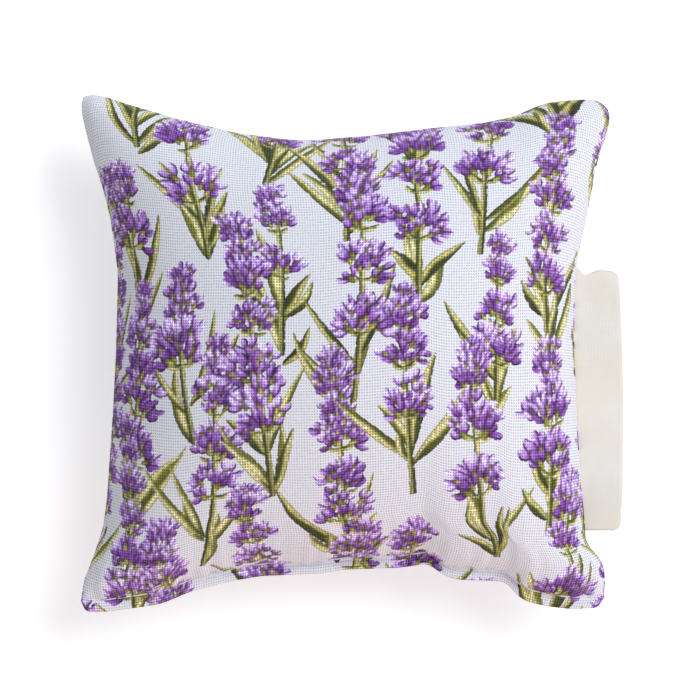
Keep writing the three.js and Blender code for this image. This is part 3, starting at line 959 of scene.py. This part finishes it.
ribbon_mesh = bpy.data.meshes.new("ribbon")
label_bm.to_mesh(ribbon_mesh)
label_bm.free()
ribbon_mesh.vertices.foreach_set("co", (label_places / 1000).ravel())
across_middle = np.diff(label_places[along_cells // 2], axis=0)
ribbon_way = np.concatenate([[0], np.cumsum(np.linalg.norm(across_middle, axis=1))])
ribbon_flat = np.stack([np.broadcast_to(ribbon_way, label_x.shape), label_flat_y], axis=2).reshape(-1, 2)
ribbon_corners = np.zeros(len(ribbon_mesh.loops), int)
ribbon_mesh.loops.foreach_get("vertex_index", ribbon_corners)
ribbon_uv = ribbon_mesh.uv_layers.new(name="ribbon_map")
ribbon_uv.data.foreach_set("uv", (ribbon_flat[ribbon_corners] / 1000).ravel())
ribbon = bpy.data.objects.new("ribbon", ribbon_mesh)
scene.collection.objects.link(ribbon)
ribbon_wall = ribbon.modifiers.new("wall", "SOLIDIFY")
ribbon_wall.thickness = ribbon_thickness / 1000
ribbon_wall.offset = 0
label_mesh = bpy.data.meshes.new_from_object(ribbon.evaluated_get(bpy.context.evaluated_depsgraph_get()))
label_mesh.name = "label"
bpy.data.objects.remove(ribbon)
label_mesh.polygons.foreach_set("use_smooth", np.ones(len(label_mesh.polygons), bool))

# The satin, with fine ribs along and across it, painted shade between the ribs and a soft cloudy tone
satin = bpy.data.materials.new("satin_ribbon")
satin.use_nodes = True
satin_tree = satin.node_tree
satin_shader = satin_tree.nodes["Principled BSDF"]
ribbon_map = satin_tree.nodes.new("ShaderNodeUVMap")
ribbon_map.uv_map = "ribbon_map"
ribbon_place = ribbon_map.outputs["UV"]
ribbon_parts = satin_tree.nodes.new("ShaderNodeSeparateXYZ")
satin_tree.links.new(ribbon_place, ribbon_parts.inputs[0])
ribs = []
for axis, pitch in ((0, rib_pitch), (1, 1.6 * rib_pitch)):
    angle = math_node(satin_tree, "MULTIPLY", ribbon_parts.outputs[axis], 1000 * math.pi / pitch)
    ribs.append(math_node(satin_tree, "ABSOLUTE", math_node(satin_tree, "SINE", angle)))
cross_ribs = math_node(satin_tree, "MULTIPLY", ribs[1], 0.4)
rib_height = math_node(satin_tree, "MULTIPLY_ADD", ribs[0], 0.6, cross_ribs)
creamy = ramp_node(satin_tree, noise_node(satin_tree, ribbon_place, 75, 1.0), 0.2, 0.8)
satin_colour = mix_node(satin_tree, creamy, satin_pearl, satin_cream)
cloudy = math_node(satin_tree, "MULTIPLY", noise_node(satin_tree, ribbon_place, 420, 3.0), 0.3)
satin_colour = mix_node(satin_tree, cloudy, satin_colour, satin_cloud)
# The grooves between the ribs are painted darker as shade
groove_shade_share = math_node(satin_tree, "MULTIPLY_ADD", rib_height, -0.16, 0.16)
satin_colour = mix_node(satin_tree, groove_shade_share, satin_colour, satin_groove_shade)
satin_tree.links.new(satin_colour, satin_shader.inputs["Base Color"])
satin_shader.inputs["Roughness"].default_value = 0.55
satin_shader.inputs["Sheen Weight"].default_value = 0.3
satin_bump = satin_tree.nodes.new("ShaderNodeBump")
satin_bump.inputs["Strength"].default_value = 0.5
satin_bump.inputs["Distance"].default_value = 0.00006
satin_tree.links.new(rib_height, satin_bump.inputs["Height"])
satin_tree.links.new(satin_bump.outputs[0], satin_shader.inputs["Normal"])
label_mesh.materials.clear()
label_mesh.materials.append(satin)
label = bpy.data.objects.new("label_ribbon", label_mesh)
scene.collection.objects.link(label)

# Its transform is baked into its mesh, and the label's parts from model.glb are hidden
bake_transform(label)
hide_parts("label_flap", "label_front_tail", "label_back_tail")
